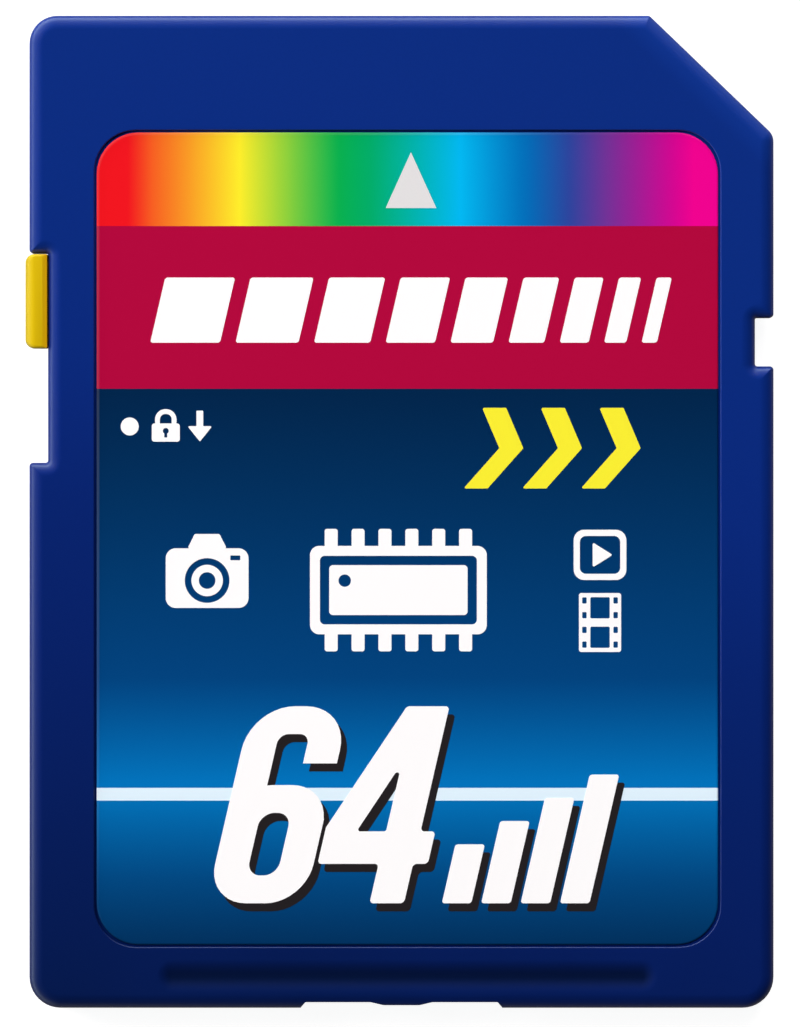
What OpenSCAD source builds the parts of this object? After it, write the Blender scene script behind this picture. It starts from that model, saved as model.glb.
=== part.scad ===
// Full-size memory card with a sliding write-protect switch, lying on its back face.
// +Z points out of the label face, +Y is the leading edge that enters a reader, and the
// cut corner is at +X, +Y. The origin is the middle of the back face. Millimetres.

/* [Card] */
// Width across the two side rails
card_w = 24; // [23.6:0.1:26]
// Length from the rear edge to the leading edge
card_l = 32; // [31:0.5:36]
// Thickness between the back face and the label face
card_t = 2.1; // [2:0.05:2.4]
// Radius of the two rear corners
rear_r = 1; // [0.5:0.1:1.5]
// Radius of the leading corner that is not cut
lead_r = 0.9; // [0.5:0.1:1.4]
// Width of the corner cut along the leading edge
cut_w = 4; // [3:0.1:4.4]
// Length of the corner cut along the side
cut_l = 3.85; // [3:0.05:4.4]
// Radius where the corner cut meets the leading edge
cut_lead_r = 0.15; // [0.1:0.05:0.5]
// Radius where the corner cut meets the side
cut_side_r = 0.5; // [0.2:0.1:1]
// Rounding of every edge of the label face
edge_r = 0.3; // [0.15:0.05:0.4]
// Chamfer of the back face's edges
back_chamfer = 0.12; // [0.05:0.01:0.2]
// Chamfer that leads the card into a reader, on the back of the leading edge
lead_chamfer = 0.35; // [0.2:0.05:0.5]
// Thickness of the side rails
rail_t = 1.4; // [1.3:0.05:1.5]
// Width of the step beside the back face
rail_w = 0.75; // [0.6:0.05:0.9]

/* [Shells] */
// Height of the line where the two shells meet
parting_h = 1.4; // [1.36:0.02:1.46]
// Thickness of the back shell under the board
back_wall = 0.45; // [0.35:0.05:0.6]
// Wall between the card's side and the board, on the switch side
switch_wall = 1.7; // [1.6:0.05:1.8]
// Wall between the card's side and the board, on the cut-corner side
cut_wall = 1.25; // [1.1:0.05:1.35]
// Wall between the leading edge and the board
lead_wall = 0.7; // [0.5:0.05:0.9]
// Wall between the corner cut and the board
corner_wall = 0.5; // [0.4:0.05:0.6]
// Wall between the rear edge and the board
rear_wall = 1.9; // [1.7:0.1:2.5]
// Width of the ledge that the board rests on
ledge_w = 0.5; // [0.3:0.1:0.9]
// Radius of the locating pins between the shells
pin_r = 0.25; // [0.15:0.05:0.3]
// Height of the locating pins
pin_h = 0.3; // [0.2:0.05:0.4]
// Clearance of each locating pin in its hole
pin_gap = 0.04; // [0.02:0.01:0.06]
// Distance from the rear edge to the two rear locating pins
pin_rear = 8; // [4:0.5:12]
// Distance from the leading edge to the locating pin on the switch side
switch_pin_lead = 4.5; // [3:0.1:6]
// Distance from the leading edge to the locating pin on the cut-corner side
cut_pin_lead = 7.2; // [6.4:0.1:8.5]
// Radius of the posts that hold the board down
post_r = 0.4; // [0.3:0.05:0.5]
// Distance from the posts to the sides of the board's pocket
post_in = 1; // [0.8:0.1:1.2]
// Distance between the corner cut and the post beside it
post_cut_gap = 2; // [1.5:0.1:3]

/* [Front label] */
// Bare margin beside the label, on the switch side
label_left = 2.12; // [1.9:0.05:3]
// Bare margin beside the label, on the cut-corner side
label_right = 1.74; // [1.5:0.05:3]
// Bare margin between the leading edge and the label
label_lead = 3.72; // [3.5:0.05:5]
// Bare margin between the rear edge and the label
label_rear = 1.99; // [1.9:0.05:3]
// Corner radius of both labels
label_r = 1.4; // [0.6:0.1:2]
// Thickness of both labels
label_t = 0.06; // [0.04:0.01:0.1]
// Depth of the recess that holds the front label
label_recess = 0.12; // [0.1:0.01:0.14]
// Gap between a label and the edge of its recess
label_gap = 0.05; // [0.03:0.01:0.1]

/* [Back label] */
// Bare margin at both sides of the back label
back_label_side = 2.1; // [1.6:0.1:3]
// Bare margin between the leading edge and the back label
back_label_lead = 8.8; // [8.5:0.1:12]
// Bare margin between the rear edge and the back label
back_label_rear = 2; // [1.5:0.1:4]
// Depth of the recess that holds the back label
back_label_recess = 0.1; // [0.1:0.01:0.14]

/* [Write-protect switch] */
// Depth of the notch that the switch slides in
switch_notch_d = 0.6; // [0.55:0.05:0.7]
// Length of the notch that the switch slides in
switch_notch_l = 6.76; // [6:0.02:8]
// Distance from the leading edge to that notch
switch_notch_lead = 7.66; // [7:0.02:9]
// Length of the switch's knob
knob_l = 3.04; // [2.4:0.02:3.6]
// How far the knob stands out of the card's side
knob_out = 0.13; // [0:0.01:0.2]
// How far the knob stays below the label face
knob_below = 0.06; // [0.02:0.01:0.1]
// Radius of the knob's two outer corners
knob_corner_r = 0.28; // [0.1:0.02:0.34]
// Radius of the knob's two outer long edges
knob_edge_r = 0.3; // [0.1:0.02:0.4]
// Radius of the knob's corners and long edges beside the wall
knob_inner_r = 0.08; // [0.06:0.01:0.12]
// Wall between the notch and the channel inside
channel_wall = 0.32; // [0.26:0.02:0.34]
// Thickness of the web between the knob and its head
web_t = 0.5; // [0.3:0.05:0.6]
// How much shorter than the knob the web is, at each end
web_short = 0.2; // [0.1:0.05:0.4]
// Width of the head inside the channel
head_w = 0.4; // [0.3:0.02:0.42]
// Height of the head inside the channel
head_h = 0.86; // [0.7:0.02:0.92]
// How much longer than the knob the head is, at each end
head_over = 0.5; // [0.3:0.05:0.8]
// Clearance all round the sliding switch
slide_gap = 0.03; // [0.02:0.005:0.05]

/* [Side notch] */
// Depth of the plain notch in the other side
side_notch_d = 0.6; // [0.55:0.05:0.7]
// Length of the plain notch
side_notch_l = 1.57; // [1.2:0.01:2]
// Distance from the leading edge to the plain notch
side_notch_lead = 9.74; // [9:0.02:12]
// Radius of both notches' outer corners
notch_outer_r = 0.12; // [0.06:0.02:0.2]
// Radius of both notches' inner corners
notch_inner_r = 0.08; // [0.04:0.02:0.1]

/* [Thumb groove] */
// Length of the groove along the rear edge
groove_l = 15.6; // [10:0.2:18]
// Width of the groove
groove_w = 0.95; // [0.7:0.05:1.1]
// Depth of the groove
groove_d = 0.18; // [0.1:0.02:0.24]
// Distance from the rear edge to the middle of the groove
groove_rear = 1.1; // [1:0.05:1.2]

/* [Moulding gate recess] */
// Length of the recess in the rear edge
gate_l = 6.2; // [4:0.2:10]
// Depth of the recess in the rear edge
gate_d = 0.19; // [0.1:0.01:0.25]
// Width of the sloping ends of the recess
gate_slope = 0.16; // [0.05:0.01:0.3]
// Width of the gate stub left in the recess
stub_l = 1.15; // [0.8:0.05:2]
// Height of the gate stub
stub_h = 0.1; // [0.05:0.01:0.1]
// Width of the stub's sloping ends
stub_slope = 0.42; // [0.2:0.02:0.6]

/* [Contacts] */
// How far the contacts lie in from the back face
contact_depth = 0.7; // [0.6:0.02:0.74]
// Distance between neighbouring contacts
contact_pitch = 2.5; // [2.3:0.02:2.52]
// Distance between the last two contacts, which share a slot
last_pitch = 1.7; // [1.65:0.05:1.8]
// Distance from the card's side to the contact by the cut corner
first_contact = 2.3; // [2.25:0.05:2.5]
// Width of a contact
contact_w = 1.7; // [1.4:0.05:1.8]
// Width of the last contact
last_contact_w = 1.2; // [1:0.05:1.3]
// Length of a contact
contact_l = 4; // [3.2:0.1:4.2]
// Thickness of the plated copper
contact_t = 0.035; // [0.03:0.005:0.06]
// Distance from the leading edge to the contacts
contact_lead = 1.1; // [0.95:0.05:1.3]
// How much further back the contact by the cut corner starts
corner_contact_step = 2.4; // [2.3:0.05:2.6]
// Corner radius of a contact
contact_r = 0.15; // [0.05:0.05:0.3]
// Plain margin between a contact and the sides of its slot
slot_side = 0.13; // [0.1:0.01:0.15]
// Plain margin between a contact and the closed end of its slot
slot_end = 0.6; // [0.3:0.1:0.8]

/* [Circuit board] */
// Thickness of the board
board_t = 0.3; // [0.25:0.01:0.34]
// Clearance round the board
board_gap = 0.1; // [0.05:0.01:0.15]
// Corner radius of the board's pocket
board_r = 0.4; // [0.2:0.05:0.6]
// Clearance over the tallest part on the board
head_room = 0.06; // [0.04:0.01:0.1]
// Radius of the notch in each long side of the board
board_notch_r = 0.6; // [0.4:0.05:0.8]
// Distance from the rear edge of the card to those notches
board_notch_rear = 16.5; // [16:0.5:18]

/* [Flash memory] */
// Width of the package over its leads
flash_w = 17; // [15:0.2:18]
// Length of the package
flash_l = 12; // [10:0.2:12.6]
// Height of the package above the board
flash_h = 0.68; // [0.6:0.02:0.7]
// Reach of the leads beside the body
lead_reach = 0.8; // [0.6:0.05:1]
// Distance between neighbouring leads
lead_pitch = 0.5; // [0.4:0.02:0.54]
// Leads on each side of the package
lead_count = 22; // [12:1:22]
// Width of a lead
lead_w = 0.2; // [0.15:0.01:0.25]
// Thickness of a lead
lead_t = 0.1; // [0.08:0.01:0.14]
// Length of a lead's foot on the board
lead_foot = 0.36; // [0.2:0.02:0.4]
// Length of the level stretch where a lead leaves the body
lead_shoulder = 0.24; // [0.15:0.01:0.3]
// Height of the body above the board
flash_standoff = 0.05; // [0.03:0.01:0.1]
// Distance from the board's rear edge to the package
flash_rear = 1.6; // [0.8:0.1:2]
// Side draft of both chip packages
package_draft = 0.06; // [0.02:0.01:0.1]
// Radius of the mark for the first pin
mark_r = 0.4; // [0.2:0.05:0.5]
// Depth of that mark
mark_d = 0.05; // [0.02:0.01:0.08]
// Distance from that mark to the package's sides
mark_in = 0.95; // [0.7:0.05:1.2]

/* [Controller] */
// Side of the square controller package
controller_w = 6; // [5:0.2:7]
// Height of the controller above the board
controller_h = 0.6; // [0.45:0.05:0.65]
// Height of the upright band round the controller
controller_band = 0.1; // [0.05:0.01:0.15]
// How far the controller stands off the middle of the board, to the switch side
controller_off = 2; // [0:0.1:2.6]
// Lands along each side of the controller
land_count = 10; // [6:1:12]
// Distance between neighbouring lands
land_pitch = 0.5; // [0.35:0.01:0.52]
// Width of a land
land_w = 0.24; // [0.15:0.01:0.28]
// Length of a land
land_l = 0.45; // [0.3:0.05:0.6]
// Height of the solder under the controller
land_t = 0.04; // [0.02:0.01:0.06]
// Gap between the two chips
chip_gap = 2.2; // [1.6:0.1:3]

/* [Small components] */
// Length of a chip capacitor
capacitor_l = 1; // [0.8:0.05:1.2]
// Width of a chip capacitor
capacitor_w = 0.5; // [0.4:0.02:0.6]
// Height of a chip capacitor
capacitor_h = 0.5; // [0.4:0.02:0.6]
// Length of a chip resistor
resistor_l = 1; // [0.8:0.05:1.2]
// Width of a chip resistor
resistor_w = 0.5; // [0.4:0.02:0.6]
// Height of a chip resistor
resistor_h = 0.34; // [0.25:0.01:0.45]
// Length of the metal caps on the small components
cap_l = 0.24; // [0.15:0.01:0.3]
// How much the caps stand proud of the body between them
cap_proud = 0.02; // [0.01:0.005:0.04]
// Distance between neighbouring small components
small_pitch = 1.5; // [1.3:0.05:1.6]
// Distance from the controller to the middle of the first column of capacitors
column_gap = 1.6; // [1:0.1:1.8]
// Distance from the controller's rear side to the first capacitor of a column
column_rear = 0.4; // [0:0.1:1]
// Distance from the controller's middle to the first resistor
row_start = 3; // [2:0.1:4]

/* [Hidden] */
e = 0.01;        // overlap of joined shapes
past = 1;        // how far a cutter runs past what it cuts
corner_steps = 8;
edge_steps = 5;
min_r = 0.04;    // smallest radius left by an inset corner
inner_gap = 0.1;

left_x = -card_w / 2;
right_x = card_w / 2;
rear_y = -card_l / 2;
lead_y = card_l / 2;
rail_z = card_t - rail_t;

// The board's pocket
pocket_x0 = left_x + switch_wall;
pocket_x1 = right_x - cut_wall;
pocket_y0 = rear_y + rear_wall;
pocket_y1 = lead_y - lead_wall;
board_z = contact_depth + contact_t;
board_top = board_z + board_t;
ceiling_z = board_top + flash_h + head_room;
notch_y = rear_y + board_notch_rear;

// The labels
label_z = card_t - label_recess;
groove_x = (label_left - label_right) / 2;
function front_label_points(gap) = box_points(left_x + label_left + gap,
    right_x - label_right - gap, rear_y + label_rear + gap, lead_y - label_lead - gap, label_r - gap);
function back_label_points(gap) = box_points(left_x + back_label_side + gap,
    right_x - back_label_side - gap, rear_y + back_label_rear + gap,
    lead_y - back_label_lead - gap, label_r - gap);

// The switch and its notch
switch_y1 = lead_y - switch_notch_lead;
switch_y0 = switch_y1 - switch_notch_l;
switch_x = left_x + switch_notch_d;
channel_x0 = switch_x + channel_wall;
channel_x1 = channel_x0 + head_w + 2 * slide_gap;
knob_y1 = switch_y1 - slide_gap;
knob_y0 = knob_y1 - knob_l;
side_notch_x = right_x - side_notch_d;
side_notch_y1 = lead_y - side_notch_lead;
side_notch_y0 = side_notch_y1 - side_notch_l;

// The contacts, numbered from the one by the cut corner
contact_count = 9;
contact_x = [for (i = [0:contact_count - 1])
    right_x - first_contact - min(i, contact_count - 2) * contact_pitch
    - (i == contact_count - 1 ? last_pitch : 0)];
function contact_width(i) = i == contact_count - 1 ? last_contact_w : contact_w;
function contact_y1(i) = lead_y - contact_lead - (i == 0 ? corner_contact_step : 0);
function contact_y0(i) = contact_y1(i) - contact_l;

// The chips stand on the board behind one another
flash_y0 = pocket_y0 + board_gap + flash_rear;
flash_cx = (pocket_x0 + pocket_x1) / 2;
flash_body_w = flash_w - 2 * lead_reach;
flash_cy = flash_y0 + flash_l / 2;
controller_cx = flash_cx - controller_off;
controller_cy = flash_y0 + flash_l + chip_gap + controller_w / 2;

// Capacitors stand in two columns by the controller, and resistors in a row between the chips
column_x = controller_cx + controller_w / 2 + column_gap;
column_y = controller_cy - controller_w / 2 + column_rear;
CAPACITORS = [for (i = [0:1]) for (j = [0:2])
    [column_x + 2 * i * small_pitch, column_y + j * small_pitch]];
row_x = controller_cx - row_start;
row_y = flash_y0 + flash_l + chip_gap / 2;
RESISTORS = [for (i = [0:3]) [row_x + i * small_pitch, row_y]];

// Corners that turn left, on an outline drawn anticlockwise, are outer corners
function unit(v) = v / norm(v);
function side(a, b) = a[0] * b[1] - a[1] * b[0] < 0 ? 1 : -1;
function before(points, i) = unit(points[(i + len(points) - 1) % len(points)] - points[i]);
function after(points, i) = unit(points[(i + 1) % len(points)] - points[i]);
function corner_side(points, i) = side(before(points, i), after(points, i));

// An arc of points in place of corner i, in steps of equal angle
function fillet(points, i, r) =
    let (v = points[i], u = before(points, i), w = after(points, i), half = acos(u * w) / 2,
         c = v + unit(u + w) * r / sin(half), s = v + u * r / tan(half) - c,
         sweep = (180 - 2 * half) * side(u, w))
    [for (k = [0:corner_steps]) let (a = sweep * k / corner_steps)
        c + [s[0] * cos(a) - s[1] * sin(a), s[0] * sin(a) + s[1] * cos(a)]];
function rounded(points, radii) = [for (i = [0:len(points) - 1]) each fillet(points, i, radii[i])];

// The same outline with every side moved in by d, and with its corners' radii to match
function moved_in(points, i, d) = let (u = before(points, i), w = after(points, i))
    points[i] + unit(u + w) * side(u, w) * d / sin(acos(u * w) / 2);
function inset(points, d) = [for (i = [0:len(points) - 1]) moved_in(points, i, d)];
function inset_radii(points, radii, d) = [for (i = [0:len(points) - 1])
    max(radii[i] - corner_side(points, i) * d, min_r)];

// The card's outline with both notches, from the rear corner by the switch
CARD_CORNERS = [[left_x, rear_y], [right_x, rear_y], [right_x, side_notch_y0],
    [side_notch_x, side_notch_y0], [side_notch_x, side_notch_y1], [right_x, side_notch_y1],
    [right_x, lead_y - cut_l], [right_x - cut_w, lead_y], [left_x, lead_y], [left_x, switch_y1],
    [switch_x, switch_y1], [switch_x, switch_y0], [left_x, switch_y0]];
CARD_RADII = [rear_r, rear_r, notch_outer_r, notch_inner_r, notch_inner_r, notch_outer_r,
    cut_side_r, cut_lead_r, lead_r, notch_outer_r, notch_inner_r, notch_inner_r, notch_outer_r];
function card_ring(d) = rounded(inset(CARD_CORNERS, d), inset_radii(CARD_CORNERS, CARD_RADII, d));
function box_points(x0, x1, y0, y1, r) =
    rounded([[x0, y0], [x1, y0], [x1, y1], [x0, y1]], [r, r, r, r]);

// The flat faces are drawn from a point inside each corner's rounding, so that the recess and the
// pocket only cut large triangles, with the middle in four pieces that the notches don't bend
CARD_INNER = [for (i = [0:len(CARD_CORNERS) - 1])
    moved_in(CARD_CORNERS, i, edge_r + max(CARD_RADII[i] / 3, inner_gap))];
CARD_MIDDLE = [[1, 11, 12, 0], [11, 1, 2, 3, 4], [7, 4, 5, 6], [7, 8, 9, 10, 11, 4]];
function first(i) = i * (corner_steps + 1);
function card_faces(ring, inner) = let (n = len(CARD_CORNERS)) concat(
    [for (i = [0:n - 1]) concat([inner + i], [for (k = [0:corner_steps]) ring + first(i) + k])],
    [for (i = [0:n - 1]) let (j = (i + 1) % n)
        [inner + i, ring + first(i) + corner_steps, ring + first(j), inner + j]],
    [for (f = CARD_MIDDLE) [for (p = f) inner + p]]);
function turned(f) = [for (i = [0:len(f) - 1]) f[(len(f) - i) % len(f)]];

// A solid whose level sections are the card's outline, each moved in by one of the insets
module card_loft(insets, heights) {
    rings = [for (d = insets) card_ring(d)];
    n = len(rings[0]);
    last = len(rings) - 1;
    points = concat([for (k = [0:last]) for (p = rings[k]) [p[0], p[1], heights[k]]],
        [for (z = [heights[0], heights[last]]) for (p = CARD_INNER) [p[0], p[1], z]]);
    walls = [for (k = [0:last - 1]) for (i = [0:n - 1]) let (j = (i + 1) % n)
        each [[k * n + i, (k + 1) * n + i, (k + 1) * n + j], [k * n + i, (k + 1) * n + j, k * n + j]]];
    top = [for (f = card_faces(last * n, (last + 1) * n + len(CARD_INNER))) turned(f)];
    polyhedron(points, concat(card_faces(0, (last + 1) * n), walls, top));
}

// The rounding of the label face's edges, as insets and heights
EDGE_INSETS = [for (k = [0:edge_steps]) edge_r * (1 - cos(90 * k / edge_steps))];
EDGE_HEIGHTS = [for (k = [0:edge_steps]) card_t - edge_r + edge_r * sin(90 * k / edge_steps)];

// The recess in the rear edge that keeps the moulding gate's stub inside the outline
module gate_recess() {
    floor_y = rear_y + gate_d;
    half = [gate_l / 2 + gate_slope, gate_l / 2, stub_l / 2 + stub_slope, stub_l / 2];
    translate([0, 0, -past]) linear_extrude(card_t + 2 * past)
        polygon([[-half[0], rear_y - past], [-half[0], rear_y], [-half[1], floor_y],
            [-half[2], floor_y], [-half[3], floor_y - stub_h], [half[3], floor_y - stub_h],
            [half[2], floor_y], [half[1], floor_y], [half[0], rear_y], [half[0], rear_y - past]]);
}

// The space that the switch's web and head slide in, half of it in each shell
module switch_channel() {
    slot_h = web_t + 2 * slide_gap;
    channel_h = head_h + 2 * slide_gap;
    translate([switch_x - past, switch_y0, parting_h - slot_h / 2])
        cube([channel_x0 - switch_x + past + e, switch_notch_l, slot_h]);
    translate([channel_x0, switch_y0 - head_over, parting_h - channel_h / 2])
        cube([channel_x1 - channel_x0, switch_notch_l + 2 * head_over, channel_h]);
}

// The board's pocket, whose slanting side keeps its distance from the corner cut
corner_shift = corner_wall * norm([cut_w, cut_l]);
POCKET_CORNERS = [[pocket_x0, pocket_y0], [pocket_x1, pocket_y0],
    [pocket_x1, lead_y - cut_l - (corner_shift - cut_l * cut_wall) / cut_w],
    [right_x - cut_w - (corner_shift - cut_w * lead_wall) / cut_l, pocket_y1],
    [pocket_x0, pocket_y1]];
POCKET_RADII = [for (p = POCKET_CORNERS) board_r];
module pocket_outline(gap) {
    polygon(rounded(inset(POCKET_CORNERS, gap), inset_radii(POCKET_CORNERS, POCKET_RADII, gap)));
}
module board_bosses(r) {
    for (x = [pocket_x0, pocket_x1]) translate([x, notch_y]) circle(r, $fn = 48);
}

switch_pin_x = (left_x + pocket_x0) / 2;
cut_pin_x = (right_x + pocket_x1) / 2;
PINS = [[switch_pin_x, rear_y + pin_rear], [switch_pin_x, lead_y - switch_pin_lead],
    [cut_pin_x, rear_y + pin_rear], [cut_pin_x, lead_y - cut_pin_lead]];
POSTS = [[pocket_x0 + post_in, pocket_y0 + post_in], [pocket_x1 - post_in, pocket_y0 + post_in],
    [pocket_x0 + post_in, pocket_y1 - post_in],
    [right_x - cut_w - post_cut_gap, pocket_y1 - post_in]];

// The upper shell, with the label recess and the thumb groove
module front_shell() {
    groove_r = (pow(groove_w / 2, 2) + pow(groove_d, 2)) / (2 * groove_d);
    color("darkblue") {
        difference() {
            card_loft(concat([0], EDGE_INSETS), concat([parting_h], EDGE_HEIGHTS));
            gate_recess();
            translate([0, 0, label_z]) linear_extrude(past) polygon(front_label_points(0));
            translate([groove_x, rear_y + groove_rear, card_t - groove_d + groove_r])
                rotate([0, 90, 0]) cylinder(r = groove_r, h = groove_l, center = true, $fn = 96);
            translate([0, 0, parting_h - past])
                linear_extrude(ceiling_z - parting_h + past) pocket_outline(0);
            switch_channel();
            for (p = PINS) translate([p[0], p[1], parting_h - past])
                cylinder(r = pin_r + pin_gap, h = past + pin_h + pin_gap, $fn = 32);
        }
        for (p = POSTS) translate([p[0], p[1], board_top])
            cylinder(r = post_r, h = ceiling_z - board_top + e, $fn = 32);
    }
}

// One opening for each contact, and one for the last two, running out at the leading edge
module contact_slots() {
    for (i = [0:contact_count - 1]) {
        half = contact_width(i) / 2 + slot_side;
        y0 = contact_y0(i) - slot_end;
        x0 = contact_x[i] - half;
        x1 = i == contact_count - 1 ? contact_x[i - 1] : contact_x[i] + half;
        translate([x0, y0, -past]) cube([x1 - x0, lead_y + past - y0, contact_depth + past]);
        translate([x0, y0, 0]) cube([x1 - x0, pocket_y1 - y0, board_z + e]);
    }
}

// The step that leaves a thin rail along the card's side, with a chamfer to the back face
module rail_step() {
    step_x = right_x - rail_w;
    rotate([90, 0, 0]) linear_extrude(card_l + past, center = true)
        polygon([[step_x - back_chamfer - past, -past], [right_x + past, -past],
            [right_x + past, rail_z], [step_x, rail_z], [step_x, back_chamfer]]);
}

// The lower shell, stepped in beside the back face, with the contact slots
module back_shell() {
    hollow_y0 = pocket_y0 + ledge_w;
    hollow_y1 = contact_y0(0) - slot_end - ledge_w;
    color("darkblue") {
        difference() {
            card_loft([back_chamfer, 0, 0], [0, back_chamfer, parting_h]);
            for (side = [0, 1]) mirror([side, 0, 0]) rail_step();
            gate_recess();
            rotate([90, 0, 90]) linear_extrude(card_w + past, center = true)
                polygon([[lead_y - lead_chamfer, -e], [lead_y + e, -e], [lead_y + e, lead_chamfer]]);
            difference() {
                translate([0, 0, board_z]) linear_extrude(past) pocket_outline(0);
                linear_extrude(parting_h) board_bosses(board_notch_r);
            }
            translate([pocket_x0 + ledge_w, hollow_y0, back_wall])
                cube([pocket_x1 - pocket_x0 - 2 * ledge_w, hollow_y1 - hollow_y0, board_z]);
            contact_slots();
            translate([0, 0, back_label_recess - past]) linear_extrude(past)
                polygon(back_label_points(0));
            switch_channel();
        }
        for (p = PINS) translate([p[0], p[1], parting_h - e])
            cylinder(r = pin_r, h = pin_h + e, $fn = 32);
    }
}

// The yellow switch: a knob in the notch, a web through the wall and a head in the channel
module write_protect_slider() {
    x0 = left_x - knob_out;
    x1 = switch_x - slide_gap;
    z0 = rail_z + knob_below;
    z1 = card_t - knob_below;
    color("gold") {
        intersection() {
            linear_extrude(card_t) polygon(rounded(
                [[x0, knob_y0], [x1, knob_y0], [x1, knob_y1], [x0, knob_y1]],
                [knob_corner_r, knob_inner_r, knob_inner_r, knob_corner_r]));
            translate([0, knob_y1 + past, 0]) rotate([90, 0, 0]) linear_extrude(knob_l + 2 * past)
                polygon(rounded([[x0, z0], [x1, z0], [x1, z1], [x0, z1]],
                    [knob_edge_r, knob_inner_r, knob_inner_r, knob_edge_r]));
        }
        translate([x1 - knob_inner_r, knob_y0 + web_short, parting_h - web_t / 2])
            cube([channel_x0 + slide_gap + e - x1 + knob_inner_r, knob_l - 2 * web_short, web_t]);
        translate([channel_x0 + slide_gap, knob_y0 - head_over, parting_h - head_h / 2])
            cube([head_w, knob_l + 2 * head_over, head_h]);
    }
}

module front_label() {
    color("steelblue") translate([0, 0, label_z]) linear_extrude(label_t)
        polygon(front_label_points(label_gap));
}

module back_label() {
    color("lightgrey") translate([0, 0, back_label_recess - label_t]) linear_extrude(label_t)
        polygon(back_label_points(label_gap));
}

module circuit_board() {
    color("darkgreen") translate([0, 0, board_z]) linear_extrude(board_t) difference() {
        pocket_outline(board_gap);
        board_bosses(board_notch_r + board_gap);
    }
}

// One gold-plated contact on the underside of the board
module contact(i) {
    half = contact_width(i) / 2;
    color("gold") translate([0, 0, contact_depth]) linear_extrude(contact_t)
        polygon(box_points(contact_x[i] - half, contact_x[i] + half, contact_y0(i), contact_y1(i),
            contact_r));
}

// A moulded chip package whose sides lean in above and below a narrow upright band
module package(w, l, z0, z1, band_z, band_h) {
    function profile(half) = [[package_draft - half, z0], [half - package_draft, z0],
        [half, band_z], [half, band_z + band_h], [half - package_draft, z1],
        [package_draft - half, z1], [-half, band_z + band_h], [-half, band_z]];
    difference() {
        intersection() {
            rotate([90, 0, 0]) linear_extrude(l + past, center = true) polygon(profile(w / 2));
            rotate([90, 0, 90]) linear_extrude(w + past, center = true) polygon(profile(l / 2));
        }
        translate([mark_in - w / 2, mark_in - l / 2, z1 - mark_d])
            cylinder(r = mark_r, h = past, $fn = 32);
    }
}

lead_z = board_top + flash_h / 2;
module flash_memory() {
    color("dimgray") translate([flash_cx, flash_cy, 0]) package(flash_body_w, flash_l,
        board_top + flash_standoff, board_top + flash_h, lead_z, lead_t);
}

// The bent leads along both short sides of the memory
module flash_leads() {
    bend = lead_t / 2;
    foot_x = lead_reach - lead_foot;
    profile = [[0, lead_z], [lead_shoulder, lead_z], [foot_x, board_top], [lead_reach, board_top],
        [lead_reach, board_top + lead_t], [foot_x + bend, board_top + lead_t],
        [lead_shoulder + bend, lead_z + lead_t], [0, lead_z + lead_t]];
    color("silver") for (side = [-1, 1]) for (i = [0:lead_count - 1])
        translate([flash_cx, flash_cy + (i - (lead_count - 1) / 2) * lead_pitch, 0])
            rotate([90, 0, 0]) linear_extrude(lead_w, center = true)
                polygon([for (p = profile) [side * (flash_body_w / 2 + p[0]), p[1]]]);
}

module controller() {
    color("dimgray") translate([controller_cx, controller_cy, 0]) package(controller_w,
        controller_w, board_top + land_t, board_top + controller_h,
        board_top + (controller_h - controller_band) / 2, controller_band);
}

// Soldered lands under the edges of the controller
module controller_lands() {
    reach = controller_w / 2 - package_draft - land_l;
    color("silver") translate([controller_cx, controller_cy, board_top]) for (a = [0:90:270])
        rotate(a) for (i = [0:land_count - 1])
            translate([reach, (i - (land_count - 1) / 2) * land_pitch - land_w / 2, 0])
                cube([land_l, land_w, land_t]);
}

// A chip capacitor or resistor: a body with a metal cap over each end
module small_component(at, l, w, h) {
    translate([at[0], at[1], board_top]) {
        translate([e - l / 2, cap_proud - w / 2, cap_proud])
            cube([l - 2 * e, w - 2 * cap_proud, h - 2 * cap_proud]);
        for (x = [-l / 2, l / 2 - cap_l]) translate([x, -w / 2, 0]) cube([cap_l, w, h]);
    }
}
module capacitor(i) {
    color("tan") small_component(CAPACITORS[i], capacitor_l, capacitor_w, capacitor_h);
}
module resistor(i) {
    color("black") small_component(RESISTORS[i], resistor_l, resistor_w, resistor_h);
}

front_shell();
back_shell();
write_protect_slider();
front_label();
back_label();
circuit_board();
contact(0);  // contact_1
contact(1);  // contact_2
contact(2);  // contact_3
contact(3);  // contact_4
contact(4);  // contact_5
contact(5);  // contact_6
contact(6);  // contact_7
contact(7);  // contact_8
contact(8);  // contact_9
flash_memory();
flash_leads();
controller();
controller_lands();
capacitor(0);  // capacitor_1
capacitor(1);  // capacitor_2
capacitor(2);  // capacitor_3
capacitor(3);  // capacitor_4
capacitor(4);  // capacitor_5
capacitor(5);  // capacitor_6
resistor(0);  // resistor_1
resistor(1);  // resistor_2
resistor(2);  // resistor_3
resistor(3);  // resistor_4
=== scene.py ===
import math

import bmesh
import bpy
from mathutils import Matrix, Vector, geometry


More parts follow.
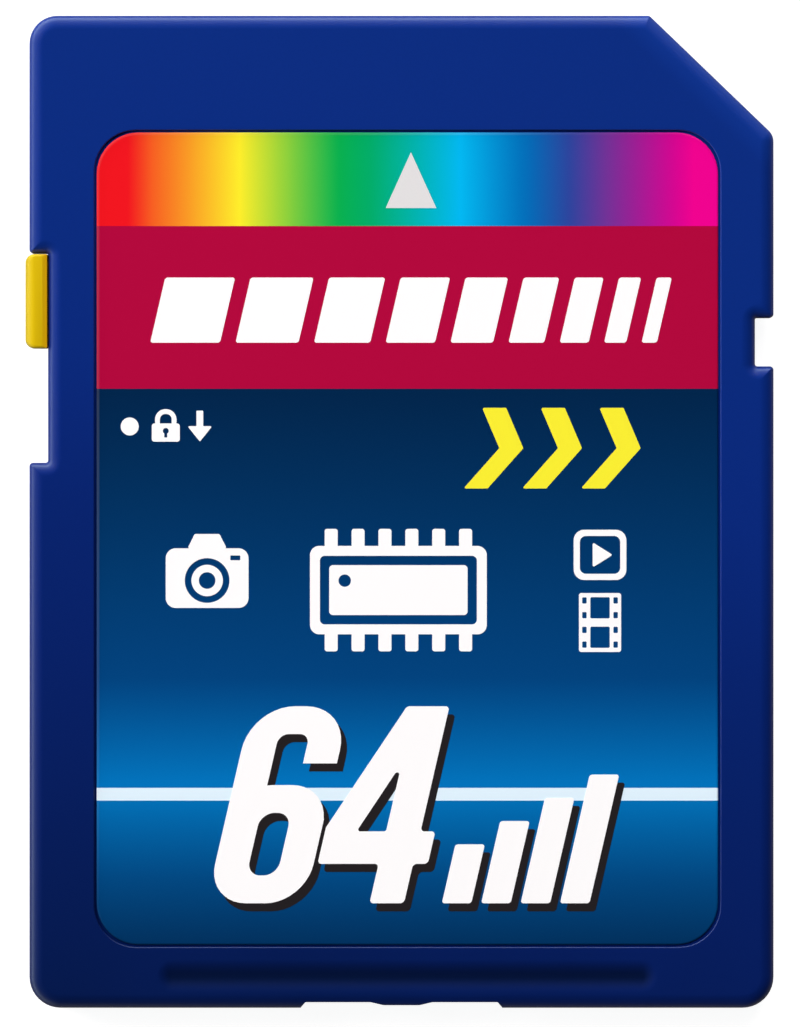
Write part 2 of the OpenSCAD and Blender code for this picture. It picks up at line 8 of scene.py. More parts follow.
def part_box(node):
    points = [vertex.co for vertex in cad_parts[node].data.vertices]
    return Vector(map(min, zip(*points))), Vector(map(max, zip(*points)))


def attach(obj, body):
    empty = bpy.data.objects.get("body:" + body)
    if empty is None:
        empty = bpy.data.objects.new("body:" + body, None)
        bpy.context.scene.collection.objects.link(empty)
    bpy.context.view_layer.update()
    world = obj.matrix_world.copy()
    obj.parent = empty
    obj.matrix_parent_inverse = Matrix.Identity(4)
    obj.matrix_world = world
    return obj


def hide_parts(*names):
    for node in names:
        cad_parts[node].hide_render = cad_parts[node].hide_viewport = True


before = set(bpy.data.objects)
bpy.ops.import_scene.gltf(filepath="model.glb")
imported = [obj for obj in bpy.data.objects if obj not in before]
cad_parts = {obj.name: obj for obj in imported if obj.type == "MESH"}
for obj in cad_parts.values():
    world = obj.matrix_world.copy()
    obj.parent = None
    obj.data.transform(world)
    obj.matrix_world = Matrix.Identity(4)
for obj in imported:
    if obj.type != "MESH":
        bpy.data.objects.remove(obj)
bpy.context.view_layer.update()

# Lengths are in millimetres, and each finished mesh is scaled to metres
MM = 0.001


def node_box(node):
    """A CAD node's lowest and highest corners, in millimetres."""
    low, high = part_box(node)
    return low / MM, high / MM


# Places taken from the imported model
SHELL_LOW, SHELL_HIGH = node_box("front_shell")
LEFT, REAR = SHELL_LOW.xy
RIGHT, LEAD, TOP = SHELL_HIGH
SWITCH_LOW, SWITCH_HIGH = node_box("write_protect_slider")
FILM_LOW, FILM_HIGH = node_box("front_label")
BACK_FILM_LOW, BACK_FILM_HIGH = node_box("back_label")
BOARD_LOW, BOARD_HIGH = node_box("circuit_board")
MEMORY_TOP = node_box("flash_memory")[1].z
CONTACTS = [node_box(f"contact_{i}") for i in range(1, 10)]

# Card outline
REAR_R = 1.0
LEAD_R = 0.9
CUT_W, CUT_L = 4.0, 3.85
CUT_LEAD_R, CUT_SIDE_R = 0.15, 0.5
NOTCH_OUTER_R, NOTCH_INNER_R = 0.12, 0.08
SWITCH_NOTCH_LEAD, SWITCH_NOTCH_L = 7.66, 6.76
SIDE_NOTCH_LEAD, SIDE_NOTCH_L = 9.74, 1.57
NOTCH_D = 0.6
SMALLEST_R = 0.03
CORNER_STEPS = 10
CREASE = 32
MERGE = 1e-5

# Shells
PARTING_H = 1.4
PARTING_BEVEL = 0.03
EDGE_W, EDGE_H, EDGE_STEPS = 0.45, 0.32, 12
BACK_CHAMFER = 0.12
RAIL_T, RAIL_W = 1.4, 0.75
LEAD_CHAMFER = 0.35
FILM_GAP = 0.07
RECESS_D, BACK_RECESS_D = 0.12, 0.1
RECESS_RIM_R = 0.04
RECESS_STEPS = 4
FILM_R = 1.35
FILM_STEPS = 5
FILM_EDGE_W, FILM_EDGE_H = 0.06, 0.04
GROOVE_L, GROOVE_W, GROOVE_D, GROOVE_REAR = 16.2, 1.1, 0.07, 1.03
GROOVE_STEPS = 14
GATE_L, GATE_D, GATE_SLOPE = 6.2, 0.19, 0.16
STUB_L, STUB_H, STUB_SLOPE, STUB_R = 1.15, 0.1, 0.42, 0.3
GATE_R = 0.1
BOARD_GAP, POCKET_R, CORNER_WALL = 0.1, 0.5, 0.5
BOSS_R, BOSS_REAR = 0.6, 16.4
LEDGE_W = 0.5
BACK_WALL = 0.45
HEAD_ROOM = 0.06
PIN_R, PIN_H, PIN_GAP = 0.25, 0.3, 0.04
PIN_REAR, PIN_LEAD, PIN_CUT_LEAD = 8.0, 4.5, 7.2
POST_R, POST_IN, POST_CUT_GAP = 0.4, 1.0, 2.0
SLOT_SIDE, SLOT_END = 0.13, 0.6

# Write-protect switch
SLIDE_GAP = 0.03
HEAD_OVER, HEAD_W, HEAD_H = 0.5, 0.4, 0.86
WEB_T, WEB_SHORT, WEB_SINK = 0.5, 0.2, 0.1
KNOB_EDGE_R, KNOB_END_R, KNOB_CORNER_R, KNOB_INNER_R = 0.3, 0.1, 0.28, 0.03
KNOB_CORNER_SHARE, KNOB_STEPS = 0.8, 10
KNOB_SLOPE_W, KNOB_SLOPE_H = 0.15, 0.05

# Print on the label
INK_T = 0.004
SLANT = math.tan(math.radians(13))
RAINBOW_END, CRIMSON_END = 9.21, 3.965
LINE_TOP, LINE_END = -8.9, -9.31
SHADOW_SHIFT = Vector((0.19, -0.26))
# Painted highlight along the label film's edge: its width and its share of pale
EDGE_HIGHLIGHT_W, EDGE_HIGHLIGHT_SHARE = 0.09, 0.03
RULED_HALF_W, RULED_LOW, RULED_HIGH = 8.2, -11.5, 4.5
SIZE_BASE, SIZE_H = -12.62, 6.35
STRIPE_BASE, CHEVRON_BASE, LOCK_BASE = 5.45, 0.75, 2.26

# How far the painted highlight, a brighter blue, runs in from the cut corner, as a share of the cut
CUT_HIGHLIGHT_REACH = 0.35

# Studio
WALL_RISE = [(0.0, 1.0), (0.1, 0.8), (0.25, 0.4), (0.45, 0.15), (0.7, 0.04), (0.88, 0.0)]
WALL_LEAD, WALL_SWITCH, WALL_REST = 8.8, 3.8, 0.12
WALL_TINT, LAMP_TINT = (0.85, 0.99, 1.0, 1), (1.0, 0.9, 0.9)
FLOOR_TONE, FLOOR_GLOW, FLOOR_HALF, FLOOR_DROP = 0.36, 0.92, 3.0, 0.00002
LENS, SENSOR, FRAME_H = 400.0, 36.0, 33.1
CAMERA_X, CAMERA_Y = -0.048, -0.056

PAST = 1.0
TINY = 0.01


class Outline:
    """A closed outline of straight sides, drawn anticlockwise, with a radius at each corner."""

    def __init__(self, corners, radii):
        self.corners = [Vector(c) for c in corners]
        self.radii = radii if isinstance(radii, list) else [radii] * len(corners)

    def sides(self, i):
        """The directions from corner i to the corners before and after it."""
        here, ahead = self.corners[i], self.corners[(i + 1) % len(self.corners)]
        return (self.corners[i - 1] - here).normalized(), (ahead - here).normalized()

    def turn(self, i):
        """1 for a corner that points outwards and -1 for one that points inwards."""
        back, ahead = self.sides(i)
        return 1 if back.cross(ahead) < 0 else -1

    def inset(self, distance):
        corners, radii = [], []
        for i, corner in enumerate(self.corners):
            back, ahead = self.sides(i)
            reach = distance * self.turn(i) / math.sin(back.angle(ahead) / 2)
            corners.append(corner + (back + ahead).normalized() * reach)
            radii.append(max(self.radii[i] - self.turn(i) * distance, SMALLEST_R))
        return Outline(corners, radii)

    def points(self):
        ring = []
        for i, corner in enumerate(self.corners):
            radius = self.radii[i]
            back, ahead = self.sides(i)
            half = back.angle(ahead) / 2
            centre = corner + (back + ahead).normalized() * radius / math.sin(half)
            start = corner + back * radius / math.tan(half) - centre
            sweep = (math.pi - 2 * half) * self.turn(i)
            steps = CORNER_STEPS if radius else 0
            for k in range(steps + 1):
                ring.append(centre + Matrix.Rotation(sweep * k / CORNER_STEPS, 2) @ start)
        return ring


def rectangle(x0, y0, x1, y1, radius=0.0):
    return Outline([(x0, y0), (x1, y0), (x1, y1), (x0, y1)], radius)


def card_outline():
    """The card seen from its label side, with the cut corner and both notches."""
    switch_end = LEAD - SWITCH_NOTCH_LEAD
    switch_start = switch_end - SWITCH_NOTCH_L
    side_end = LEAD - SIDE_NOTCH_LEAD
    side_start = side_end - SIDE_NOTCH_L
    corners = [
        (LEFT, REAR), (RIGHT, REAR), (RIGHT, side_start), (RIGHT - NOTCH_D, side_start),
        (RIGHT - NOTCH_D, side_end), (RIGHT, side_end), (RIGHT, LEAD - CUT_L),
        (RIGHT - CUT_W, LEAD), (LEFT, LEAD), (LEFT, switch_end), (LEFT + NOTCH_D, switch_end),
        (LEFT + NOTCH_D, switch_start), (LEFT, switch_start),
    ]
    notch = [NOTCH_OUTER_R, NOTCH_INNER_R, NOTCH_INNER_R, NOTCH_OUTER_R]
    return Outline(corners, [REAR_R, REAR_R, *notch, CUT_SIDE_R, CUT_LEAD_R, LEAD_R, *notch])


def pocket_outline():
    """The space for the board, a gap wider than the board all round."""
    grown = Vector((BOARD_GAP, BOARD_GAP))
    low, high = BOARD_LOW.xy - grown, BOARD_HIGH.xy + grown
    wall = CORNER_WALL * math.hypot(CUT_W, CUT_L)
    side_y = LEAD - CUT_L - (wall - CUT_L * (RIGHT - high.x)) / CUT_W
    lead_x = RIGHT - CUT_W - (wall - CUT_W * (LEAD - high.y)) / CUT_L
    corners = [low, (high.x, low.y), (high.x, side_y), (lead_x, high.y), (low.x, high.y)]
    return Outline(corners, POCKET_R)


def film_outline(low, high):
    return rectangle(low.x, low.y, high.x, high.y, FILM_R)


def level(outline, z):
    return [Vector((p.x, p.y, z)) for p in outline.points()]


def loft(rings):
    """A closed mesh through rings that have the same number of points."""
    mesh = bmesh.new()
    rows = [[mesh.verts.new(p) for p in ring] for ring in rings]
    for low, high in zip(rows, rows[1:]):
        for i in range(len(low)):
            mesh.faces.new((low[i - 1], low[i], high[i], high[i - 1]))
    mesh.faces.new(rows[0][::-1])
    mesh.faces.new(rows[-1])
    bmesh.ops.recalc_face_normals(mesh, faces=mesh.faces)
    return mesh


def prism(outline, z0, z1):
    return loft([level(outline, z0), level(outline, z1)])


def bar_along(axis, section, start, end):
    """A section in X and Z swept along Y, or in Y and Z swept along X."""
    place = {"X": lambda u, v, s: (s, u, v), "Y": lambda u, v, s: (u, s, v)}[axis]
    return loft([[Vector(place(u, v, s)) for u, v in section] for s in (start, end)])


def block(low, high):
    return prism(rectangle(low[0], low[1], high[0], high[1]), low[2], high[2])


def rod(x, y, radius, z0, z1, steps=40):
    turns = [2 * math.pi * k / steps for k in range(steps)]
    ring = [(x + radius * math.cos(a), y + radius * math.sin(a)) for a in turns]
    return loft([[Vector((*p, z)) for p in ring] for z in (z0, z1)])


def trial_object(mesh):
    data = bpy.data.meshes.new("trial")
    mesh.to_mesh(data)
    mesh.free()
    trial = bpy.data.objects.new("trial", data)
    bpy.context.scene.collection.objects.link(trial)
    return trial


def combine(operation, mesh, tools):
    """The mesh with each tool taken away or joined on, by exact booleans."""
    body = trial_object(mesh)
    trials = [trial_object(tool) for tool in tools]
    for trial in trials:
        change = body.modifiers.new("combine", "BOOLEAN")
        change.operation = operation
        change.solver = "EXACT"
        change.object = trial
    seen = body.evaluated_get(bpy.context.evaluated_depsgraph_get())
    result = bmesh.new()
    result.from_mesh(seen.to_mesh())
    for used in [body, *trials]:
        data = used.data
        bpy.data.objects.remove(used)
        bpy.data.meshes.remove(data)
    return result


def cut(mesh, tools):
    return combine("DIFFERENCE", mesh, tools)


def join(mesh, tools):
    return combine("UNION", mesh, tools)


def finish_piece(name, mesh, finish, body, nodes=()):
    """Turns a mesh in millimetres into a piece of the card, shaded smooth up to the crease angle."""
    bmesh.ops.remove_doubles(mesh, verts=mesh.verts, dist=MERGE)
    mesh.transform(Matrix.Scale(MM, 4))
    data = bpy.data.meshes.new(name)
    mesh.to_mesh(data)
    mesh.free()
    data.shade_smooth()
    data.set_sharp_from_angle(angle=math.radians(CREASE))
    data.materials.append(finish)
    piece = bpy.data.objects.new(name, data)
    bpy.context.scene.collection.objects.link(piece)
    weigh = piece.modifiers.new("even_shading", "WEIGHTED_NORMAL")
    weigh.keep_sharp = True
    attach(piece, body)
    if nodes:
        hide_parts(*nodes)
    return piece


class Value:
    """An output socket of a finish, so that shader maths can be written as an expression."""

    def __init__(self, finish, socket):
        self.finish = finish
        self.socket = socket

    def __add__(self, other):
        return self.finish.maths("ADD", self, other)

    def __sub__(self, other):
        return self.finish.maths("SUBTRACT", self, other)

    def __rsub__(self, other):
        return self.finish.maths("SUBTRACT", other, self)

    def __mul__(self, other):
        return self.finish.maths("MULTIPLY", self, other)

    def __gt__(self, other):
        return self.finish.maths("GREATER_THAN", self, other)

    def __lt__(self, other):
        return self.finish.maths("LESS_THAN", self, other)

    def __abs__(self):
        return self.finish.maths("ABSOLUTE", self)

    __radd__ = __add__
    __rmul__ = __mul__


def colour(red, green, blue):
    """A colour written as screen values from 0 to 255, in the linear values that a shader takes."""
    shares = [c / 255 for c in (red, green, blue)]
    linear = [c / 12.92 if c <= 0.04045 else ((c + 0.055) / 1.055) ** 2.4 for c in shares]
    return (*linear, 1.0)


class Recipe:
    """A node tree that is put together from sockets and constants."""

    def __init__(self, tree):
        self.tree = tree

    def feed(self, socket, value):
        if isinstance(value, Value):
            self.tree.links.new(value.socket, socket)
        else:
            socket.default_value = value

    def node(self, kind, settings=None, sockets=None, output=0):
        made = self.tree.nodes.new(kind)
        for name, value in (settings or {}).items():
            if name == "stops":
                self.fill_ramp(made.color_ramp, value)
            else:
                setattr(made, name, value)
        for name, value in (sockets or {}).items():
            self.feed(made.inputs[name], value)
        return None if output is None else Value(self, made.outputs[output])

    def fill_ramp(self, ramp, stops):
        while len(ramp.elements) < len(stops):
            ramp.elements.new(1.0)
        for element, (place, tint) in zip(ramp.elements, stops):
            element.position = place
            element.color = tint

    def maths(self, operation, *values):
        return self.node("ShaderNodeMath", {"operation": operation}, dict(enumerate(values)))

    def clamped(self, value):
        return self.node("ShaderNodeClamp", None, {0: value})

    def axes(self, spot):
        return [self.node("ShaderNodeSeparateXYZ", None, {0: spot}, i) for i in range(3)]

    def mix(self, factor, first, second):
        sockets = {0: factor, 6: first, 7: second}
        return self.node("ShaderNodeMix", {"data_type": "RGBA"}, sockets, 2)

    def ramp(self, factor, stops):
        return self.node("ShaderNodeValToRGB", {"stops": stops}, {0: factor})


class Finish(Recipe):
    """A procedural material on one principled shader."""

    def __init__(self, name, **constants):
        self.material = bpy.data.materials.new(name)
        self.material.use_nodes = True
        super().__init__(self.material.node_tree)
        self.tree.nodes.clear()
        self.shader = self.tree.nodes.new("ShaderNodeBsdfPrincipled")
        output = self.tree.nodes.new("ShaderNodeOutputMaterial")
        self.tree.links.new(self.shader.outputs["BSDF"], output.inputs["Surface"])
        for socket, value in constants.items():
            self.set(socket.replace("_", " "), value)

    def set(self, socket, value):
        self.feed(self.shader.inputs[socket], value)

    def spot(self):
        """The place on the piece, in millimetres."""
        where = self.node("ShaderNodeTexCoord", output="Object")
        sockets = {0: where, 1: (1 / MM, 1 / MM, 1 / MM)}
        return self.node("ShaderNodeVectorMath", {"operation": "MULTIPLY"}, sockets)

    def stretched(self, spot, x, y, z):
        sockets = {0: spot, 1: (x, y, z)}
        return self.node("ShaderNodeVectorMath", {"operation": "MULTIPLY"}, sockets)

    def noise(self, spot, scale, detail=3.0, roughness=0.5):
        sockets = {"Vector": spot, "Scale": scale, "Detail": detail, "Roughness": roughness}
        return self.node("ShaderNodeTexNoise", None, sockets)

    def artwork(self, factor, stops):
        """Colours that blend evenly on screen, as printed artwork does, each given as 0 to 255."""
        blend = [(place, (red / 255, green / 255, blue / 255, 1)) for place, red, green, blue in stops]
        return self.node("ShaderNodeGamma", None, {0: self.ramp(factor, blend), 1: 2.2})

    def bump(self, height, depth):
        """Relief of the given depth in millimetres, for a height from 0 to 1."""
        sockets = {"Strength": 1.0, "Distance": depth * MM, "Height": height}
        self.set("Normal", self.node("ShaderNodeBump", None, sockets))


def moulded_plastic(name, roughness, level):
    """Injection-moulded plastic with a fine spark-eroded texture and faint rub marks."""
    finish = Finish(name, Specular_IOR_Level=level)
    spot = finish.spot()
    grain = finish.noise(spot, 9.0, 4.0, 0.6)
    speck = finish.noise(spot, 34.0, 2.0, 0.6)
    rub = finish.noise(finish.stretched(spot, 14.0, 0.5, 2.0), 1.0, 3.0, 0.7)
    finish.set("Roughness", roughness - 0.05 + grain * 0.1 + (rub > 0.66) * 0.05)
    finish.bump(grain * 0.5 + speck * 0.5, 0.0012)
    return finish, spot, grain


def card_plastic():
    """Blue plastic with painted shade, darker to the rear, to the switch side and in the thumb groove,
    and a painted highlight, brighter along the cut corner.
    """
    finish, spot, grain = moulded_plastic("card_plastic", 0.34, 0.5)
    x, y, z = finish.axes(spot)
    # painted shade: the blue darkens towards the rear and towards the switch side, with a random waver
    # in where it darkens
    painted_shade_waver = finish.noise(finish.stretched(spot, 0.12, 0.05, 0.4), 1.0, 2.0)
    along = finish.clamped((y - REAR + (x - LEFT) * 0.25) * (1 / (LEAD - REAR)) + (painted_shade_waver - 0.5) * 0.2)
    tone = finish.ramp(along, [(0.0, colour(2, 23, 75)), (0.25, colour(4, 29, 96)),
                               (0.5, colour(5, 35, 112)), (0.65, colour(7, 41, 126)),
                               (0.85, colour(8, 44, 130)), (1.0, colour(9, 45, 131))])
    tone = finish.mix(grain * 0.12, tone, colour(4, 20, 70))
    # painted highlight: the blue is made brighter along the cut corner's rounded edge
    inward = (RIGHT - x) * (1 / CUT_W) + (LEAD - y) * (1 / CUT_L)
    painted_cut_highlight = finish.clamped(1 + CUT_HIGHLIGHT_REACH - inward)
    tone = finish.mix(painted_cut_highlight, tone, colour(22, 68, 172))
    # painted shade: the thumb groove is darkened, more where it is deeper
    mid_x, mid_y = groove_middle()
    near = (abs(x - mid_x) < GROOVE_L / 2) * (abs(y - mid_y) < GROOVE_W / 2)
    painted_groove_shade = finish.clamped((TOP - z) * (1 / GROOVE_D)) * near * (z > TOP - 2 * GROOVE_D)
    finish.set("Base Color", finish.mix(painted_groove_shade, tone, colour(2, 17, 54)))
    return finish.material


def switch_plastic():
    """Yellow plastic, with painted shade across the knob: darker on the outer rounding and orange on the
    slope that meets the card.
    """
    finish, spot, grain = moulded_plastic("switch_plastic", 0.4, 0.3)
    x, _, _ = finish.axes(spot)
    # painted shade: the yellow darkens on the outer rounding and turns orange on the slope towards the
    # notch's wall
    tone = finish.ramp((x - SWITCH_LOW.x) * 1.4, [
        (0.05, colour(190, 162, 6)), (0.35, colour(212, 180, 8)), (0.7, colour(210, 177, 8)),
        (0.95, colour(226, 172, 12))])
    finish.set("Base Color", finish.mix(grain * 0.2, tone, colour(208, 174, 8)))
    return finish.material


def film_edge_highlight(finish, x, y):
    """1 on a painted highlight along the film's rounded edge, at its leading edge and at the switch
    side.
    """
    middle, half = (FILM_LOW + FILM_HIGH) / 2, (FILM_HIGH - FILM_LOW) / 2
    across, along = x - middle.x, y - middle.y
    over_x = finish.maths("MAXIMUM", abs(across) - (half.x - FILM_R), 0.0)
    over_y = finish.maths("MAXIMUM", abs(along) - (half.y - FILM_R), 0.0)
    rim = finish.maths("SQRT", over_x * over_x + over_y * over_y) > FILM_R - EDGE_HIGHLIGHT_W
    return rim * finish.clamped(along * (1 / half.y) - across * (1 / half.x))


def label_print():
    """The printed film: a rainbow band, a crimson band and a blue fade with one pale line."""
    finish = Finish("label_film", Specular_IOR_Level=0.3)
    spot = finish.spot()
    x, y, _ = finish.axes(spot)
    width = FILM_HIGH.x - FILM_LOW.x
    rainbow = finish.artwork((x - FILM_LOW.x) * (1 / width), [
        (0.05, 238, 27, 36), (0.09, 242, 95, 38), (0.23, 250, 236, 46), (0.39, 16, 174, 79),
        (0.44, 2, 171, 104), (0.585, 1, 183, 240), (0.68, 2, 116, 188), (0.76, 48, 70, 156),
        (0.82, 112, 53, 149), (0.96, 237, 0, 142),
    ])
    depth = CRIMSON_END - FILM_LOW.y
    fade = finish.artwork((CRIMSON_END - y) * (1 / depth), [
        (0.0, 1, 41, 76), (0.38, 1, 62, 113), (0.52, 1, 69, 126), (0.71, 2, 116, 188),
        (0.75, 1, 109, 177), (0.88, 1, 74, 129), (1.0, 1, 52, 94),
    ])
    line = (y < LINE_TOP) * (y > LINE_END)
    below = finish.mix(line, fade, colour(223, 244, 255))
    middle = finish.mix(y > CRIMSON_END, below, colour(176, 6, 60))
    printed = finish.mix(y > RAINBOW_END, middle, rainbow)
    # painted highlight: a pale line along the film's edge on its lit sides
    pale = film_edge_highlight(finish, x, y) * EDGE_HIGHLIGHT_SHARE
    finish.set("Base Color", finish.mix(pale, printed, colour(236, 232, 236)))
    peel = finish.noise(spot, 2.5, 3.0)
    grain = finish.noise(spot, 30.0, 2.0)
    finish.set("Roughness", 0.3 + grain * 0.1)
    finish.bump(peel * 0.8 + grain * 0.2, 0.0012)
    return finish.material


def ink(name, tint):
    """Screen ink that lies on the film, a little rougher than the film."""
    finish = Finish(name, Specular_IOR_Level=0.2)
    spot = finish.spot()
    grain = finish.noise(spot, 24.0, 3.0)
    pale = tuple(min(1.0, c * 1.04) for c in tint)
    finish.set("Base Color", finish.mix(grain, tint, pale))
    finish.set("Roughness", 0.4 + grain * 0.12)
    finish.bump(grain, 0.0006)
    return finish.material


def back_film():
    """A plain pale film with ruled lines to write on."""
    finish = Finish("back_label_film", Specular_IOR_Level=0.25)
    spot = finish.spot()
    x, y, _ = finish.axes(spot)
    fibre = finish.noise(spot, 6.0, 5.0, 0.6)
    paper = finish.mix(fibre, colour(196, 200, 204), colour(214, 217, 220))
    ruled = finish.maths("FRACT", y * 0.25) < 0.03
    inside = (abs(x) < RULED_HALF_W) * (y > RULED_LOW) * (y < RULED_HIGH)
    finish.set("Base Color", finish.mix(ruled * inside, paper, colour(120, 134, 158)))
    finish.set("Roughness", 0.42 + fibre * 0.14)
    finish.bump(fibre, 0.002)
    return finish.material


def board_laminate():
    """Green solder mask over faint copper tracks."""
    finish = Finish("board_laminate", Specular_IOR_Level=0.4)
    spot = finish.spot()
    weave = finish.noise(finish.stretched(spot, 3.0, 3.0, 1.0), 2.0, 3.0)
    sockets = {"Vector": spot, "Scale": 0.9, "Distortion": 1.4, "Detail": 1.0}
    tracks = finish.node("ShaderNodeTexWave", {"bands_direction": "DIAGONAL"}, sockets, "Fac") > 0.72
    mask = finish.mix(weave, colour(14, 62, 40), colour(20, 78, 50))
    finish.set("Base Color", finish.mix(tracks, mask, colour(34, 98, 60)))
    finish.set("Roughness", 0.3 + weave * 0.15)
    finish.bump(tracks * 0.7 + weave * 0.3, 0.01)
    return finish.material


def contact_gold():
    """Gold plating with the rub marks that a reader's springs leave along the card."""
    finish = Finish("contact_gold", Metallic=1.0)
    spot = finish.spot()
    rub = finish.noise(finish.stretched(spot, 26.0, 0.9, 1.0), 1.0, 4.0, 0.7)
    cloud = finish.noise(spot, 1.6, 3.0)
    gold = finish.mix(cloud, colour(222, 172, 84), colour(238, 196, 110))
    finish.set("Base Color", finish.mix((rub > 0.62) * 0.5, gold, colour(200, 168, 118)))
    finish.set("Roughness", 0.2 + rub * 0.22)
    finish.bump(rub, 0.002)
    return finish.material


def chip_plastic():
    """Black moulding compound with its gritty, slightly glossy surface."""
    finish = Finish("chip_plastic", Specular_IOR_Level=0.4)
    spot = finish.spot()
    grit = finish.noise(spot, 16.0, 5.0, 0.7)
    finish.set("Base Color", finish.mix(grit, colour(22, 22, 24), colour(44, 44, 47)))
    finish.set("Roughness", 0.45 + grit * 0.2)
    finish.bump(grit, 0.006)
    return finish.material


def bare_metal(name, dark, light, roughness):
    """Tinned or soldered metal with soft cloudy reflections."""
    finish = Finish(name, Metallic=1.0)
    spot = finish.spot()
    cloud = finish.noise(spot, 5.0, 4.0, 0.6)
    finish.set("Base Color", finish.mix(cloud, dark, light))
    finish.set("Roughness", roughness + cloud * 0.15)
    finish.bump(cloud, 0.004)
    return finish.material


def ceramic_chip(name, dark, light):
    """A ceramic chip component with tinned caps over both of its ends."""
    finish = Finish(name)
    spot = finish.spot()
    along = finish.node("ShaderNodeSeparateXYZ", None,
                        {0: finish.node("ShaderNodeTexCoord", output="Generated")})
    cap = abs(along - 0.5) > 0.29
    grain = finish.noise(spot, 12.0, 4.0)
    body = finish.mix(grain, dark, light)
    finish.set("Base Color", finish.mix(cap, body, colour(196, 196, 198)))
    finish.set("Metallic", cap * 1.0)
    finish.set("Roughness", 0.5 - cap * 0.2 + grain * 0.1)
    finish.bump(grain, 0.004)
    return finish.material


def gate_recess():
    """The recess in the rear edge, with the moulding gate's stub in its middle."""
    edge = REAR + GATE_D
    half = [GATE_L / 2 + GATE_SLOPE, GATE_L / 2, STUB_L / 2 + STUB_SLOPE, STUB_L / 2]
    steps = [(half[0], REAR - PAST), (half[0], REAR), (half[1], edge), (half[2], edge),
             (half[3], edge - STUB_H)]
    radii = [TINY, GATE_R, GATE_R / 2, STUB_R, STUB_R]
    mirrored = [(-x, y) for x, y in reversed(steps)]
    return prism(Outline(steps + mirrored, radii + radii[::-1]), -PAST, TOP + PAST)


def switch_channel():
    """The slot for the switch's web and the closed channel for its head."""
    wall_x = LEFT + NOTCH_D
    end_y = LEAD - SWITCH_NOTCH_LEAD
    start_y = end_y - SWITCH_NOTCH_L
    head_x = SWITCH_HIGH.x - HEAD_W - SLIDE_GAP
    slot = WEB_T / 2 + SLIDE_GAP
    channel = HEAD_H / 2 + SLIDE_GAP
    return [
        block((wall_x - PAST, start_y, PARTING_H - slot), (head_x + TINY, end_y, PARTING_H + slot)),
        block((head_x, start_y - HEAD_OVER, PARTING_H - channel),
              (SWITCH_HIGH.x + SLIDE_GAP, end_y + HEAD_OVER, PARTING_H + channel)),
    ]


def groove_middle():
    return (FILM_LOW.x + FILM_HIGH.x) / 2, REAR + GROOVE_REAR


def thumb_groove():
    """A shallow scoop near the rear edge that runs smoothly into the face all round."""
    x, y = groove_middle()
    half_l, half_w = GROOVE_L / 2, GROOVE_W / 2
    outline = rectangle(x - half_l, y - half_w, x + half_l, y + half_w, half_w)
    rings = [level(outline, TOP + PAST)]
    for k in range(GROOVE_STEPS):
        share = k / GROOVE_STEPS
        drop = GROOVE_D * (1 - math.cos(math.pi * share)) / 2
        rings.append(level(outline.inset(share * half_w), TOP - drop))
    return loft(rings)


def label_recess():
    """The recess for the front label, with a small rounding round its rim."""
    gap = Vector((FILM_GAP, FILM_GAP))
    outline = film_outline(FILM_LOW.xy - gap, FILM_HIGH.xy + gap)
    rings = [level(outline, TOP - RECESS_D)]
    for k in range(RECESS_STEPS + 1):
        turn = math.pi / 2 * k / RECESS_STEPS
        rise = TOP - RECESS_RIM_R * (1 - math.sin(turn))
        rings.append(level(outline.inset(-RECESS_RIM_R * (1 - math.cos(turn))), rise))
    rings.append(level(outline.inset(-RECESS_RIM_R), TOP + PAST))
    return loft(rings)


def pin_places():
    switch_x = (LEFT + BOARD_LOW.x - BOARD_GAP) / 2
    cut_x = (RIGHT + BOARD_HIGH.x + BOARD_GAP) / 2
    return [(switch_x, REAR + PIN_REAR), (switch_x, LEAD - PIN_LEAD),
            (cut_x, REAR + PIN_REAR), (cut_x, LEAD - PIN_CUT_LEAD)]


def post_places():
    inner = Vector((BOARD_GAP - POST_IN, BOARD_GAP - POST_IN))
    low, high = BOARD_LOW.xy - inner, BOARD_HIGH.xy + inner
    return [low, (high.x, low.y), (low.x, high.y), (RIGHT - CUT_W - POST_CUT_GAP, high.y)]


def front_shell(finish):
    """The upper moulding, with every outer edge rounded over to the label face."""
    outline = card_outline()
    rings = [level(outline.inset(PARTING_BEVEL), PARTING_H),
             level(outline, PARTING_H + PARTING_BEVEL)]
    for k in range(EDGE_STEPS + 1):
        turn = math.pi / 2 * k / EDGE_STEPS
        rise = TOP - EDGE_H * (1 - math.sin(turn))
        rings.append(level(outline.inset(EDGE_W * (1 - math.cos(turn))), rise))
    pins = [rod(x, y, PIN_R + PIN_GAP, 0, PARTING_H + PIN_H + PIN_GAP) for x, y in pin_places()]
    ceiling = MEMORY_TOP + HEAD_ROOM
    pocket = prism(pocket_outline(), 0, ceiling)
    mesh = cut(loft(rings), [gate_recess(), label_recess(), thumb_groove(), pocket,
                             *switch_channel(), *pins])
    posts = [rod(x, y, POST_R, BOARD_HIGH.z, ceiling + TINY) for x, y in post_places()]
    return finish_piece("front_shell_moulding", join(mesh, posts), finish, "card",
                        ["front_shell"])


def rail_steps():
    """The steps that leave a thin rail along both sides of the card."""
    step_x = RIGHT - RAIL_W
    section = [(step_x - BACK_CHAMFER - PAST, -PAST), (RIGHT + PAST, -PAST),
               (RIGHT + PAST, TOP - RAIL_T), (step_x, TOP - RAIL_T), (step_x, BACK_CHAMFER)]
    mirrored = [(-x, z) for x, z in reversed(section)]
    return [bar_along("Y", s, REAR - PAST, LEAD + PAST) for s in (section, mirrored)]


